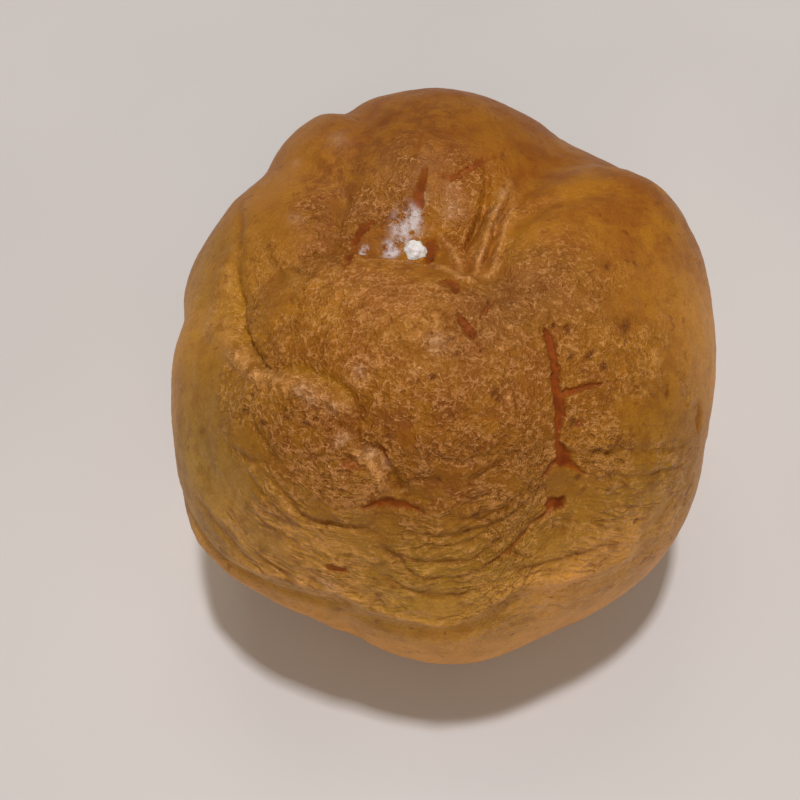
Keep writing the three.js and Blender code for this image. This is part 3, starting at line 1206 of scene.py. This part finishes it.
class Recipe:
    """Mixes one material out of nodes. Lengths inside it are in millimetres."""

    def __init__(self, name: str) -> None:
        """Starts an empty material with a Principled shader.

        Args:
            name: the material's name.
        """
        self.material = bpy.data.materials.new(name)
        self.material.use_nodes = True
        self.nodes = self.material.node_tree.nodes
        self.links = self.material.node_tree.links
        self.nodes.clear()
        self.shader = self.nodes.new("ShaderNodeBsdfPrincipled")
        surface = self.nodes.new("ShaderNodeOutputMaterial")
        self.links.new(self.shader.outputs["BSDF"], surface.inputs["Surface"])
        coordinates = self.nodes.new("ShaderNodeTexCoord").outputs["Object"]
        self.place = self.scaled(coordinates, (1 / MM, 1 / MM, 1 / MM))

    def plug(self, socket: Socket, value: Socket | float | Color) -> None:
        """Sets a socket, from another node's output or to a plain value.

        Args:
            socket: the input to set.
            value: an output socket, a number or a colour.
        """
        if isinstance(value, Socket):
            self.links.new(value, socket)
        else:
            socket.default_value = value

    def set(self, **values: Socket | float | Color) -> None:
        """Sets inputs of the Principled shader.

        Args:
            **values: what each input is set to, by its name with _ for a space.
        """
        for name, value in values.items():
            self.plug(self.shader.inputs[name.replace("_", " ")], value)

    def scaled(self, vector: Socket, scale: tuple[float, float, float]) -> Socket:
        """A vector with its parts multiplied.

        Args:
            vector: the vector's socket.
            scale: what each part is multiplied by.

        Returns:
            The product's socket.
        """
        node = self.nodes.new("ShaderNodeVectorMath")
        node.operation = "MULTIPLY"
        self.plug(node.inputs[0], vector)
        node.inputs[1].default_value = scale
        return node.outputs["Vector"]

    def drifted(self, vector: Socket, size: float, drift: float) -> Socket:
        """Places pushed about smoothly, so that patterns on them bend.

        Args:
            vector: the places to push.
            size: how far apart the pushes change, in mm.
            drift: how far they push, in mm.

        Returns:
            The pushed places' socket.
        """
        noise = self.noise_node(self.place, size, 2.0, 0.5)
        push = self.nodes.new("ShaderNodeVectorMath")
        push.operation = "MULTIPLY_ADD"
        self.plug(push.inputs[0], noise.outputs["Color"])
        push.inputs[1].default_value = (2 * drift,) * 3
        self.plug(push.inputs[2], vector)
        return push.outputs["Vector"]

    def noise_node(self, vector: Socket, size: float, detail: float, roughness: float) -> bpy.types.Node:
        """A noise texture.

        Args:
            vector: places in mm.
            size: size of its largest blotches in mm.
            detail: how many finer layers.
            roughness: how strong they are.

        Returns:
            The node.
        """
        node = self.nodes.new("ShaderNodeTexNoise")
        self.plug(node.inputs["Vector"], vector)
        node.inputs["Scale"].default_value = 1 / size
        node.inputs["Detail"].default_value = detail
        node.inputs["Roughness"].default_value = roughness
        return node

    def noise(self, vector: Socket, size: float, detail: float, roughness: float) -> Socket:
        """A noise texture's value, about 0.5 on the whole.

        Args:
            vector: places in mm.
            size: size of its largest blotches in mm.
            detail: how many finer layers.
            roughness: how strong they are.

        Returns:
            The value's socket.
        """
        return self.noise_node(vector, size, detail, roughness).outputs["Fac"]

    def ridges(self, vector: Socket, size: float, detail: float, thin: float) -> Socket:
        """Thin raised lines between wide hollows.

        Args:
            vector: places in mm.
            size: size of the hollows in mm.
            detail: how many finer layers.
            thin: how narrow the lines are.

        Returns:
            A socket from 0 in a hollow to 1 on a line.
        """
        swing = self.maths("MULTIPLY_ADD", self.noise(vector, size, detail, 0.55), thin, -0.5 * thin)
        return self.maths("SUBTRACT", 1.0, self.maths("ABSOLUTE", swing), clamp=True)

    def net(self, vector: Socket, size: float, reach: float) -> Socket:
        """Raised lines that meet in a net, with a flat cell of skin inside each mesh.

        Args:
            vector: places in mm.
            size: size of the cells in mm.
            reach: how far into a cell its line slopes down, as a share of the size.

        Returns:
            A socket from 0 in a cell to 1 on a line.
        """
        node = self.nodes.new("ShaderNodeTexVoronoi")
        node.feature = "DISTANCE_TO_EDGE"
        self.plug(node.inputs["Vector"], vector)
        node.inputs["Scale"].default_value = 1 / size
        return self.between(node.outputs["Distance"], reach, 0.0)

    def maths(self, operation: str, *values: Socket | float, clamp: bool = False) -> Socket:
        """One step of arithmetic.

        Args:
            operation: its name in the node.
            *values: what it works on, in order.
            clamp: whether the result is kept from 0 to 1.

        Returns:
            The result's socket.
        """
        node = self.nodes.new("ShaderNodeMath")
        node.operation = operation
        node.use_clamp = clamp
        for socket, value in zip(node.inputs, values):
            self.plug(socket, value)
        return node.outputs["Value"]

    def between(self, value: Socket, low: float, high: float) -> Socket:
        """A value stretched so that low becomes 0 and high 1, eased and kept there.

        Args:
            value: the value's socket.
            low: what becomes 0.
            high: what becomes 1.

        Returns:
            The stretched value's socket.
        """
        node = self.nodes.new("ShaderNodeMapRange")
        node.interpolation_type = "SMOOTHSTEP"
        self.plug(node.inputs["Value"], value)
        node.inputs["From Min"].default_value = low
        node.inputs["From Max"].default_value = high
        return node.outputs["Result"]

    def blend(self, share: Socket, under: Socket | Color, over: Socket | Color) -> Socket:
        """Lays one colour over another.

        Args:
            share: how much of the upper one shows.
            under: the lower colour or socket.
            over: the upper colour or socket.

        Returns:
            The mixed colour's socket.
        """
        node = self.nodes.new("ShaderNodeMix")
        node.data_type = "RGBA"
        lower, upper = (s for s in node.inputs if s.type == "RGBA")
        self.plug(node.inputs["Factor"], share)
        self.plug(lower, under)
        self.plug(upper, over)
        return next(s for s in node.outputs if s.type == "RGBA")

    def coat(self, base: Socket, share: Socket, coat: Coat) -> Socket:
        """Lays a coat over the colours under it.

        Args:
            base: the colours under it.
            share: where it goes, from 0 to 1.
            coat: the coat.

        Returns:
            The mixed colour's socket.
        """
        return self.blend(self.maths("MULTIPLY", share, coat.strength), base, tone(coat.code))

    def zone(self, zone: Zone) -> Socket:
        """A zone's values as kept on the mesh.

        Args:
            zone: which zone.

        Returns:
            Its socket.
        """
        node = self.nodes.new("ShaderNodeAttribute")
        node.attribute_name = zone.value
        return node.outputs["Fac"]

    def weave(self) -> Socket:
        """The places laid out round the domes, as kept on the mesh.

        Returns:
            Their socket, in mm.
        """
        node = self.nodes.new("ShaderNodeAttribute")
        node.attribute_name = WEAVE
        return node.outputs["Vector"]

    def raise_by(self, height: Socket) -> None:
        """Gives the surface a fine relief.

        Args:
            height: the relief's socket, in mm.
        """
        node = self.nodes.new("ShaderNodeBump")
        node.inputs["Strength"].default_value = 1.0
        node.inputs["Distance"].default_value = MM
        self.plug(node.inputs["Height"], height)
        self.links.new(node.outputs["Normal"], self.shader.inputs["Normal"])

    def dress(self, piece: bpy.types.Object) -> None:
        """Gives the material to a piece, in place of any other."""
        piece.data.materials.clear()
        piece.data.materials.append(self.material)


@dataclass(frozen=True)
class CrustFinish:
    """Baked choux crust: a dry, crinkled, golden-brown skin with red-brown splits."""

    gold: str = "B2751A"
    amber: str = "96560E"
    olive: str = "AE862C"
    moss: str = "987426"
    # split and raw: the floor of the splits, the torn crust's own red-brown, darkened with painted shade of
    # the tear
    split: str = "6E2C06"
    raw: str = "8C400C"
    glint: str = "FFC48A"
    bloom: str = "F0A458"
    # paler crust near the tray, and painted sheen on the right and left sides
    pale: Coat = Coat("E2A044", 0.90)
    # painted shade in the grooves
    groove: Coat = Coat("AC7808", 0.95)
    toast: Coat = Coat("743C0C", 0.85)
    ash: Coat = Coat("865C32", 0.60)
    # painted highlight along the ridges
    ridge_highlight: Coat = Coat("E0A262", 0.85)
    # painted glints on the tops of the fine ridges
    painted_glints: Coat = Coat("E0A262", 0.46)
    # painted shade in the fine creases
    crease: Coat = Coat("7C4C0E", 0.55)
    pores: Coat = Coat("6A340C", 0.20)
    crack: Coat = Coat("6A340C", 0.50)
    blister: Coat = Coat("D0A27C", 0.65)
    scorch: Coat = Coat("54260D", 0.85)
    freckle: Coat = Coat("6A340C", 0.45)
    sugar: Coat = Coat("D8CECE", 0.92)
    net_share: float = 0.65
    ridge_share: float = 0.45
    crumple_relief: float = 0.13
    streak_relief: float = 0.15
    grain_relief: float = 0.045
    crack_relief: float = -0.07

    def dress(self, bun: bpy.types.Object) -> None:
        """Mixes the crust's finish and gives it to the bun.

        Args:
            bun: the bun, with its zones on it.
        """
        mix = Recipe("baked_choux_crust")
        bent = mix.drifted(mix.place, size=2.4, drift=0.9)
        net = mix.net(mix.drifted(bent, size=0.9, drift=0.4), size=1.1, reach=0.22)
        crumple = self.skin(mix, net, bent, 0.7)
        level = mix.scaled(mix.drifted(mix.weave(), size=4.0, drift=1.2), (1.0, 0.2, 0.2))
        net = mix.net(mix.drifted(level, size=1.6, drift=0.25), size=0.8, reach=0.28)
        streaks = self.skin(mix, net, level, 0.9)
        crinkle, flow = mix.zone(Zone.CRINKLE), mix.zone(Zone.FLOW)
        still = mix.maths("SUBTRACT", 1.0, mix.zone(Zone.SPLIT), clamp=True)
        lines = mix.maths("MULTIPLY_ADD", flow, streaks, mix.maths("MULTIPLY", crinkle, crumple))
        cracks = self.cracks(mix, level, bent, flow, crinkle)
        grain = mix.noise(mix.place, 0.30, 3.0, 0.6)
        broken = mix.between(mix.noise(mix.place, 0.7, 3.0, 0.6), 0.40, 0.58)
        lines = mix.maths("MULTIPLY", lines, mix.maths("MULTIPLY_ADD", broken, 0.75, 0.40), clamp=True)
        color = self.color(mix, bent, lines, cracks, grain, still)
        relief = mix.maths("MULTIPLY", mix.maths("MULTIPLY", crinkle, crumple), self.crumple_relief)
        relief = mix.maths("MULTIPLY_ADD", mix.maths("MULTIPLY", flow, streaks), self.streak_relief, relief)
        relief = mix.maths("MULTIPLY_ADD", grain, self.grain_relief, relief)
        relief = mix.maths("MULTIPLY_ADD", cracks, self.crack_relief, relief)
        mix.raise_by(mix.maths("MULTIPLY", relief, still))
        rough = mix.maths("MULTIPLY_ADD", lines, -0.22, 0.50)
        rough = mix.maths("MULTIPLY_ADD", mix.zone(Zone.SPLIT), 0.35, rough)
        rough = mix.maths("MULTIPLY_ADD", mix.zone(Zone.SUGAR), 0.3, rough, clamp=True)
        mix.set(Base_Color=color, Roughness=rough)
        mix.set(Specular_IOR_Level=0.55, Specular_Tint=tone(self.glint))
        mix.set(Sheen_Weight=0.12, Sheen_Roughness=0.45, Sheen_Tint=tone(self.bloom))
        mix.dress(bun)

    def skin(self, mix: Recipe, net: Socket, places: Socket, size: float) -> Socket:
        """Fine crumpled skin: a net of lines with looser ridges over it.

        Args:
            mix: the recipe in hand.
            net: the net's socket.
            places: where the ridges are laid out, in mm.
            size: size of the hollows between the ridges, in mm.

        Returns:
            A socket, higher on the lines.
        """
        share = mix.maths("MULTIPLY", net, self.net_share)
        ridges = mix.ridges(places, size, detail=2.5, thin=8.0)
        return mix.maths("MULTIPLY_ADD", ridges, self.ridge_share, share)

    def cracks(self, mix: Recipe, level: Socket, bent: Socket, flow: Socket, crinkle: Socket) -> Socket:
        """Fine dark cracks in the skin, along the wrinkles and across the domes.

        Args:
            mix: the recipe in hand.
            level: places stretched along the wrinkles.
            bent: places that drift.
            flow: strength of the wrinkles.
            crinkle: strength of the crumpling.

        Returns:
            A socket, 1 on a crack.
        """
        long = mix.between(mix.ridges(level, 2.3, 2.0, 4.0), 0.80, 0.97)
        short = mix.between(mix.ridges(bent, 2.2, 2.5, 4.0), 0.85, 0.98)
        gaps = mix.between(mix.noise(mix.place, 4.0, 2.0, 0.5), 0.42, 0.60)
        domes = mix.maths("MULTIPLY", short, mix.maths("MULTIPLY", crinkle, 0.7))
        both = mix.maths("MULTIPLY_ADD", long, flow, domes)
        return mix.maths("MULTIPLY", both, gaps, clamp=True)

    def color(
        self, mix: Recipe, bent: Socket, lines: Socket, cracks: Socket, grain: Socket, still: Socket,
    ) -> Socket:
        """Lays the crust's colours over each other.

        Args:
            mix: the recipe in hand.
            bent: places that drift.
            lines: where the skin's fine ridges are.
            cracks: where its fine cracks are.
            grain: fine noise.
            still: 0 in the splits and 1 elsewhere.

        Returns:
            The colour's socket.
        """
        blotch = mix.noise(mix.place, 6.0, 4.0, 0.6)
        base = mix.blend(mix.between(blotch, 0.35, 0.65), tone(self.gold), tone(self.amber))
        green = mix.blend(mix.between(blotch, 0.62, 0.36), tone(self.olive), tone(self.moss))
        base = mix.blend(mix.zone(Zone.OLIVE), base, green)
        patchy = mix.noise(mix.place, 2.2, 4.0, 0.65)
        # paler crust near the tray, and painted sheen on the sides
        pale = mix.maths("MULTIPLY", mix.zone(Zone.PALE), mix.between(blotch, 0.15, 0.60))
        base = mix.coat(base, pale, self.pale)
        # painted shade: a deeper gold in the grooves
        base = mix.coat(base, mix.zone(Zone.GROOVE_SHADE), self.groove)
        toast = mix.maths("MULTIPLY", mix.zone(Zone.TOAST), mix.between(patchy, 0.34, 0.60))
        base = mix.coat(base, toast, self.toast)
        base = mix.coat(base, mix.zone(Zone.ASH), self.ash)
        shy = mix.maths("MULTIPLY_ADD", mix.zone(Zone.PALE), -0.32, 0.42)
        stain = mix.maths("MULTIPLY", mix.between(patchy, 0.58, 0.34), shy)
        base = mix.blend(stain, base, tone(self.toast.code))
        lace = mix.maths("MULTIPLY_ADD", mix.between(lines, 0.10, 0.75), 0.60, 0.40)
        lace = mix.maths("MULTIPLY", lace, mix.between(patchy, 0.30, 0.52))
        # painted highlight on the ridges, broken up along the fine lines
        base = mix.coat(base, mix.maths("MULTIPLY", mix.zone(Zone.RIDGE_HIGHLIGHT), lace), self.ridge_highlight)
        # painted glints: the tops of the fine lines are lightened in patches
        painted_glints = mix.maths("MULTIPLY", mix.between(lines, 0.35, 0.95), mix.between(patchy, 0.30, 0.62))
        base = mix.coat(base, painted_glints, self.painted_glints)
        # painted shade darkens the fine creases
        base = mix.coat(base, mix.zone(Zone.CREASE), self.crease)
        base = mix.coat(base, mix.between(grain, 0.60, 0.36), self.pores)
        base = mix.coat(base, cracks, self.crack)
        base = mix.coat(base, mix.maths("MULTIPLY", mix.zone(Zone.BLISTER), lace), self.blister)
        spots = mix.maths("MULTIPLY", mix.zone(Zone.SPECK), mix.between(grain, 0.28, 0.55))
        base = mix.coat(base, spots, self.scorch)
        freckles = mix.between(mix.noise(bent, 1.3, 1.5, 0.4), 0.66, 0.74)
        base = mix.coat(base, freckles, self.freckle)
        # the splits' floor: its own red-brown, darkened with painted shade
        floor = mix.blend(mix.between(patchy, 0.36, 0.62), tone(self.split), tone(self.raw))
        base = mix.blend(mix.maths("SUBTRACT", 1.0, still), base, floor)
        film = mix.between(mix.noise(mix.place, 2.0, 5.0, 0.7), 0.38, 0.60)
        dusted = mix.maths("MULTIPLY", mix.between(mix.zone(Zone.SUGAR), 0.1, 0.9), film)
        return mix.coat(base, dusted, self.sugar)


@dataclass(frozen=True)
class CreamFinish:
    """Whipped cream: off-white, soft and faintly grainy, with light going into it."""

    cream: str = "EFEEEC"
    shade: str = "E6E3DF"

    def dress(self, dab: bpy.types.Object) -> None:
        """Mixes the cream's finish and gives it to the dab.

        Args:
            dab: the dab of cream.
        """
        mix = Recipe("whipped_cream")
        blotch = mix.noise(mix.place, 0.8, 3.0, 0.6)
        color = mix.blend(mix.between(blotch, 0.4, 0.65), tone(self.cream), tone(self.shade))
        mix.raise_by(mix.maths("MULTIPLY", mix.noise(mix.place, 0.25, 3.0, 0.6), 0.04))
        mix.set(Base_Color=color, Roughness=mix.maths("MULTIPLY_ADD", blotch, 0.2, 0.4))
        mix.set(Subsurface_Weight=0.25, Subsurface_Scale=1.5 * MM)
        mix.dress(dab)


@dataclass(frozen=True)
class SugarFinish:
    """Icing sugar: dull white, a little blue in the shade."""

    white: str = "E4DEDC"
    shade: str = "CFC4BF"

    def dress(self, grains: bpy.types.Object) -> None:
        """Mixes the sugar's finish and gives it to the grains.

        Args:
            grains: the sugar.
        """
        mix = Recipe("icing_sugar")
        cloud = mix.noise(mix.place, 0.6, 3.0, 0.6)
        mix.set(Base_Color=mix.blend(mix.between(cloud, 0.4, 0.6), tone(self.white), tone(self.shade)))
        mix.raise_by(mix.maths("MULTIPLY", mix.noise(mix.place, 0.08, 2.0, 0.6), 0.02))
        mix.set(Roughness=mix.maths("MULTIPLY_ADD", cloud, 0.1, 0.8))
        mix.dress(grains)


@dataclass(frozen=True)
class FloorFinish:
    """A plain pale matte floor."""

    light: str = "D8D5D3"
    dark: str = "D3D0CE"

    def dress(self, floor: bpy.types.Object) -> None:
        """Mixes the floor's finish and gives it to the floor.

        Args:
            floor: the floor.
        """
        mix = Recipe("pale_floor")
        cloud = mix.noise(mix.place, 90.0, 2.0, 0.5)
        mix.set(Base_Color=mix.blend(mix.between(cloud, 0.3, 0.7), tone(self.light), tone(self.dark)))
        mix.set(Roughness=mix.maths("MULTIPLY_ADD", cloud, 0.1, 0.45))
        mix.dress(floor)


# ---------------------------------------------------------------- what lies in the sunken top


@dataclass
class CreamDab:
    """The dab of cream that shows in the sunken top: a rounded, slightly lumpy blob."""

    fineness: int = 5
    lumps: float = 0.28
    room_in_front: float = 0.6
    seed: int = 5

    def build(self) -> bpy.types.Object:
        """Makes the dab inside its node's box.

        Returns:
            The dab.
        """
        low, high = (np.array(corner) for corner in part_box("cream_dab"))
        ball = bmesh.new()
        bmesh.ops.create_icosphere(ball, subdivisions=self.fineness, radius=1.0)
        d = np.array([v.co for v in ball.verts])
        lumpy = d * (1 + self.lumps * Grain(self.seed).layered(d * 1.8, 3))[:, None]
        least, most = lumpy.min(axis=0), lumpy.max(axis=0)
        low[1] += self.room_in_front * MM
        points = low + (high - low) * (lumpy - least) / (most - least)
        for v, p in zip(ball.verts, points):
            v.co = p
        return as_object(ball, "cream_dab_blob")


@dataclass
class SugarDust:
    """Loose icing sugar in the sunken top: small clumps round the dab."""

    clumps: int = 160
    least: float = 0.03
    most: float = 0.08
    uneven: tuple[float, float] = (0.75, 1.2)
    tries_each: int = 20
    most_in_split: float = 0.3
    seed: int = 8
    patch_seed: int = 3

    def build(self, bun: ChouxBun) -> bpy.types.Object:
        """Scatters the clumps over the crust.

        Args:
            bun: the bun that they lie on.

        Returns:
            The sugar, as one piece.
        """
        rng = random.Random(self.seed)
        heap = bmesh.new()
        for place in self.scatter(bun, rng):
            size = rng.uniform(self.least, self.most) * MM
            made = bmesh.ops.create_icosphere(heap, subdivisions=1, radius=size)
            for v in made["verts"]:
                v.co = v.co * rng.uniform(*self.uneven) + Vector(place)
        return as_object(heap, "sugar_dust")

    def scatter(self, bun: ChouxBun, rng: random.Random) -> np.ndarray:
        """Picks places on the crust, more of them where more sugar lies.

        Args:
            bun: the bun.
            rng: the source of chance.

        Returns:
            Points in metres, one a clump.
        """
        number = self.clumps * self.tries_each
        tries = np.array([(rng.gauss(-0.14, 0.08), rng.gauss(0.13, 0.07), 1.0) for _ in range(number)])
        tries /= np.linalg.norm(tries, axis=1, keepdims=True)
        patches = 0.5 + 0.5 * Grain(self.patch_seed).layered(tries * 45, 2)
        wanted = bun.sugar(tries) * patches * 1.4
        chance = np.array([rng.random() for _ in tries])
        on_skin = bun.split(tries) < self.most_in_split
        return bun.seat(tries[(chance < wanted) & on_skin][: self.clumps])


# ---------------------------------------------------------------- the studio


@dataclass
class Lamp:
    """A square studio lamp that faces the bun."""

    name: str
    azimuth: float
    elevation: float
    distance: float
    side: float
    power: float
    color: str = "FFFFFF"

    def build(self) -> None:
        """Hangs the lamp."""
        a, e = math.radians(self.azimuth), math.radians(self.elevation)
        away = Vector((math.cos(e) * math.cos(a), math.cos(e) * math.sin(a), math.sin(e)))
        light = bpy.data.lights.new(self.name, "AREA")
        light.size = self.side
        light.energy = self.power
        light.color = tone(self.color)[:3]
        lamp = bpy.data.objects.new(self.name, light)
        lamp.location = away * self.distance
        lamp.rotation_euler = (-away).to_track_quat("-Z", "Y").to_euler()
        bpy.context.scene.collection.objects.link(lamp)


@dataclass
class Studio:
    """The floor, the lamps, the air and the camera."""

    floor_side: float = 3.0
    lamps: tuple[Lamp, ...] = (
        Lamp("key_lamp", 60.0, 86.0, 1.00, 0.07, 5.4, "F8F8FC"),
        Lamp("rear_lamp", 95.0, 60.0, 0.90, 0.40, 1.0, "FFEBD4"),
        Lamp("front_lamp", -85.0, 35.0, 0.90, 0.50, 2.0, "FFEBD4"),
    )
    air: str = "E6DED4"
    air_strength: float = 0.24

    def build(self) -> None:
        """Sets up everything round the bun."""
        self.lay_floor()
        for lamp in self.lamps:
            lamp.build()
        world = bpy.data.worlds.new("studio_air")
        world.use_nodes = True
        back = world.node_tree.nodes["Background"]
        back.inputs["Color"].default_value = tone(self.air)
        back.inputs["Strength"].default_value = self.air_strength
        bpy.context.scene.world = world
        bpy.context.scene.view_settings.view_transform = "Standard"

    def lay_floor(self) -> None:
        """Lays the floor under the bun."""
        sheet = bmesh.new()
        bmesh.ops.create_grid(sheet, x_segments=8, y_segments=8, size=self.floor_side / 2)
        floor = as_object(sheet, "studio_floor")
        FloorFinish().dress(floor)


@dataclass
class Viewpoint:
    """A camera that looks down on the bun from its front."""

    elevation: float = 57.0
    roll: float = -4.0
    opening: float = 40.0
    distance: float = 165.0 * MM
    aim_height: float = 27.0 * MM
    aim_right: float = 2.26
    aim_up: float = 1.17
    nearest: float = 0.01
    farthest: float = 10.0

    def build(self) -> None:
        """Sets up the camera. The aim sits a little right of and above the middle of its view."""
        e, roll = math.radians(self.elevation), math.radians(self.roll)
        ahead = Vector((0.0, math.cos(e), -math.sin(e)))
        level = Vector((1.0, 0.0, 0.0))
        upright = level.cross(ahead)
        right = level * math.cos(roll) + upright * math.sin(roll)
        up = upright * math.cos(roll) - level * math.sin(roll)
        to_aim = ahead + right * math.tan(math.radians(self.aim_right))
        to_aim += up * math.tan(math.radians(self.aim_up))
        data = bpy.data.cameras.new("studio_camera")
        data.angle = math.radians(self.opening)
        data.clip_start, data.clip_end = self.nearest, self.farthest
        camera = bpy.data.objects.new("studio_camera", data)
        turn = Matrix((right, up, -ahead)).transposed().to_4x4()
        spot = Vector((0.0, 0.0, self.aim_height)) - to_aim.normalized() * self.distance
        camera.matrix_world = Matrix.Translation(spot) @ turn
        bpy.context.scene.collection.objects.link(camera)
        bpy.context.scene.camera = camera


# ---------------------------------------------------------------- putting it together


def settle(piece: bpy.types.Object, slot: str, *nodes: str) -> None:
    """Ties a finished piece to the part.

    Args:
        piece: the piece.
        slot: not used.
        nodes: the nodes that it stands for.
    """
    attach(piece, "root")
    if nodes:
        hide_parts(*nodes)
    log.info("%s: %d faces", piece.name, len(piece.data.polygons))


def main() -> None:
    """Builds the studio and the cream puff."""
    logging.basicConfig(level=logging.INFO, format="%(name)s: %(message)s")
    Viewpoint().build()
    Studio().build()
    bun = ChouxBun()
    crust = bun.build()
    CrustFinish().dress(crust)
    settle(crust, "crust", "choux_bun")
    dab = CreamDab().build()
    CreamFinish().dress(dab)
    settle(dab, "cream", "cream_dab")
    sugar = SugarDust().build(bun)
    SugarFinish().dress(sugar)
    settle(sugar, "cream")


if __name__ == "__main__":
    main()
